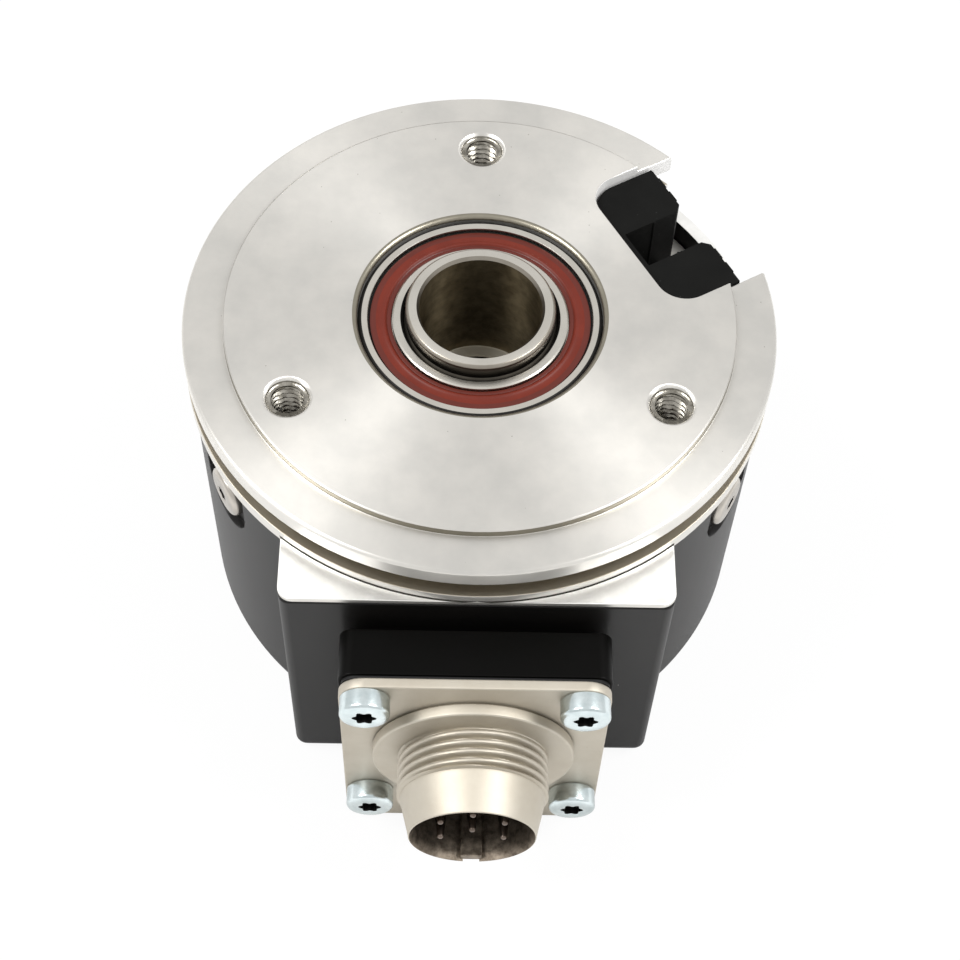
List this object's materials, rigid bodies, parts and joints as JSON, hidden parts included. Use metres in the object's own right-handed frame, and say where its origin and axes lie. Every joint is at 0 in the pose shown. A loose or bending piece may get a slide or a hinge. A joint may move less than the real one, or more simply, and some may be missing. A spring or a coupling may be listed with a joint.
{
  "type": "hollow shaft rotary encoder",
  "caption": "Rotary encoder with a blind hollow shaft in ball bearings, a clamping flange with a torque-pin slot, a black cover with a square front and a radial round pin connector.",
  "frame": {"origin": "on the shaft axis, at the front face of the centring spigot, which is the mounting face", "axes": "+Z along the shaft axis out of the flange, -Y towards the round connector, +X to the torque-pin slot's side (the slot lies at 30 degrees from +X)"},
  "size_m": [0.058, 0.0749, 0.0394],
  "materials": {
    "machined_aluminium": "turned, fine satin rings",
    "hub_aluminium": "turned",
    "black_anodised": "black anodised, satin, fine light specks",
    "black_polymer": "matte, lightly worn",
    "bare_steel": "bare, satin",
    "black_steel": "blackened",
    "spring_steel": "phosphated",
    "ring_steel": "ground",
    "shaft_steel": "ground outside, polished bore",
    "zinc_steel": "zinc plated, bluish",
    "satin_nickel": "satin nickel plated",
    "pin_metal": "silver plated",
    "red_seal": "moulded, semi-gloss",
    "seal_rubber": "moulded",
    "cage_polymer": "moulded",
    "pin_insulator": "moulded",
    "disc_glass": "clear",
    "lamp_resin": "clear resin",
    "chip_plastic": "moulded",
    "board_laminate": "coated",
    "ribbon_plastic": "flexible"
  },
  "bodies": {
    "housing": {"flange": "machined_aluminium", "slot_insert": "black_polymer", "cover": "black_anodised", "cover_screws": "bare_steel", "cover_seal": "seal_rubber", "bearing_spring": "spring_steel", "hub_clip": "spring_steel", "lamp_holder": "black_polymer", "light_source": "lamp_resin", "scanning_mask": "disc_glass", "mask_holder": "black_polymer", "sensor_chip": "chip_plastic", "circuit_board": "board_laminate", "board_components": "chip_plastic", "board_standoffs": "zinc_steel", "board_screws": "zinc_steel", "connector_block": "black_anodised", "connector_gasket": "seal_rubber", "connector_shell": "satin_nickel", "connector_insert": "pin_insulator", "connector_pins": "pin_metal", "connector_screws": "zinc_steel", "connector_board": "board_laminate", "ribbon_cable": "ribbon_plastic", "rear_plug": "black_polymer", "plug_seal": "seal_rubber", "front_bearing_outer_ring": "ring_steel", "front_bearing_seals": "red_seal", "rear_bearing_outer_ring": "ring_steel", "rear_bearing_seals": "red_seal"},
    "shaft": {"hollow_shaft": "shaft_steel", "bearing_spacer": "bare_steel", "shaft_clip": "spring_steel", "disc_hub": "hub_aluminium", "disc_hub_screws": "black_steel", "code_disc": "disc_glass", "disc_clamp_ring": "hub_aluminium", "front_bearing_inner_ring": "ring_steel", "rear_bearing_inner_ring": "ring_steel"},
    "front_cage": {"front_bearing_balls": "ring_steel", "front_bearing_cage": "cage_polymer"},
    "rear_cage": {"rear_bearing_balls": "ring_steel", "rear_bearing_cage": "cage_polymer"}
  },
  "joints": [
    {"name": "shaft_spin", "type": "hinge", "parent": "housing", "child": "shaft", "pos_m": [0, 0, 0], "axis": [0, 0, 1], "continuous": true},
    {"name": "front_cage_spin", "type": "hinge", "parent": "housing", "child": "front_cage", "pos_m": [0, 0, 0], "axis": [0, 0, 1], "continuous": true},
    {"name": "rear_cage_spin", "type": "hinge", "parent": "housing", "child": "rear_cage", "pos_m": [0, 0, 0], "axis": [0, 0, 1], "continuous": true}
  ],
  "couplings": [
    {"joint": "front_cage_spin", "follows": "shaft_spin", "ratio": 0.439},
    {"joint": "rear_cage_spin", "follows": "shaft_spin", "ratio": 0.439}
  ]
}
